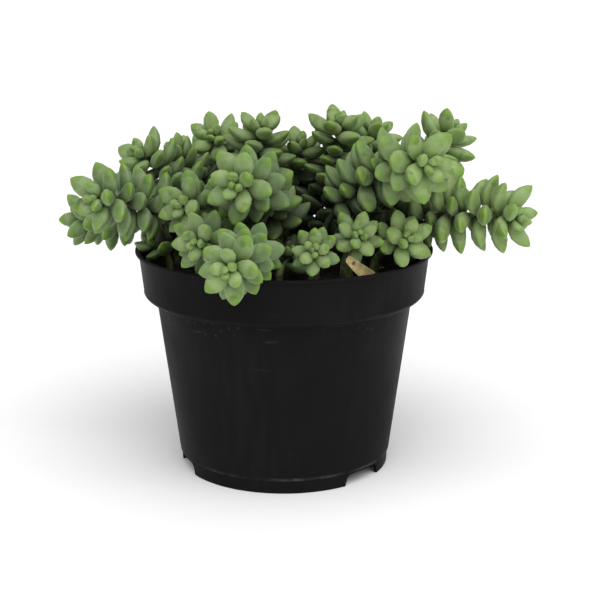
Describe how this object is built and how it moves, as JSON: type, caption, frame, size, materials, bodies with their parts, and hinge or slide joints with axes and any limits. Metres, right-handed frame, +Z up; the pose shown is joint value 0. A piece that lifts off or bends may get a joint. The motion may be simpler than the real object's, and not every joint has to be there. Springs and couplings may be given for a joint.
{
  "type": "potted burros tail plant",
  "caption": "Trailing succulent with stems densely clad in plump pointed leaves, rooted in soil in a round tapered nursery pot with a stepped collar, notched foot and drain holes.",
  "frame": {"origin": "on the pot's axis, on the surface that its feet stand on", "axes": "+Z up along the pot's axis, -Y towards the pictured front, +X to the right seen from the front"},
  "size_m": [0.2462, 0.2161, 0.1829],
  "materials": {
    "pot_plastic": "black injection-moulded plastic, satin, with dust and light scuffs",
    "soil": "dark, coarse potting mix with a few pale grains",
    "leaf": "plump living leaf, pale grey-green with a waxy bloom that hides a brighter green",
    "dry_leaf": "dry, papery, tan with darker veins and a spot"
  },
  "bodies": {
    "root": {"pot": "pot_plastic", "soil": "soil", "dry_leaf": "dry_leaf", "tail_far_left": "leaf", "tail_left_high": "leaf", "tail_left_back": "leaf", "tail_back_left_high": "leaf", "tail_middle_high": "leaf", "tail_front_face": "leaf", "tail_left_low": "leaf", "tail_left_rim": "leaf", "tail_over_rim": "leaf", "tail_front_bud": "leaf", "tail_right_bud": "leaf", "tail_right_rim": "leaf", "tail_top": "leaf", "tail_top_back": "leaf", "tail_right_face": "leaf", "tail_right_high": "leaf", "tail_far_right": "leaf", "tail_back_far_left": "leaf", "tail_back_left": "leaf", "tail_back_middle": "leaf", "tail_back_right": "leaf", "tail_back_far_right": "leaf", "tail_inner_left": "leaf", "tail_inner_right": "leaf", "tail_shoot_left": "leaf", "tail_shoot_front": "leaf", "tail_shoot_middle": "leaf", "tail_shoot_right": "leaf", "tail_shoot_centre": "leaf", "tail_shoot_back": "leaf", "tail_shoot_rim": "leaf", "tail_shoot_corner": "leaf"}
  },
  "joints": []
}
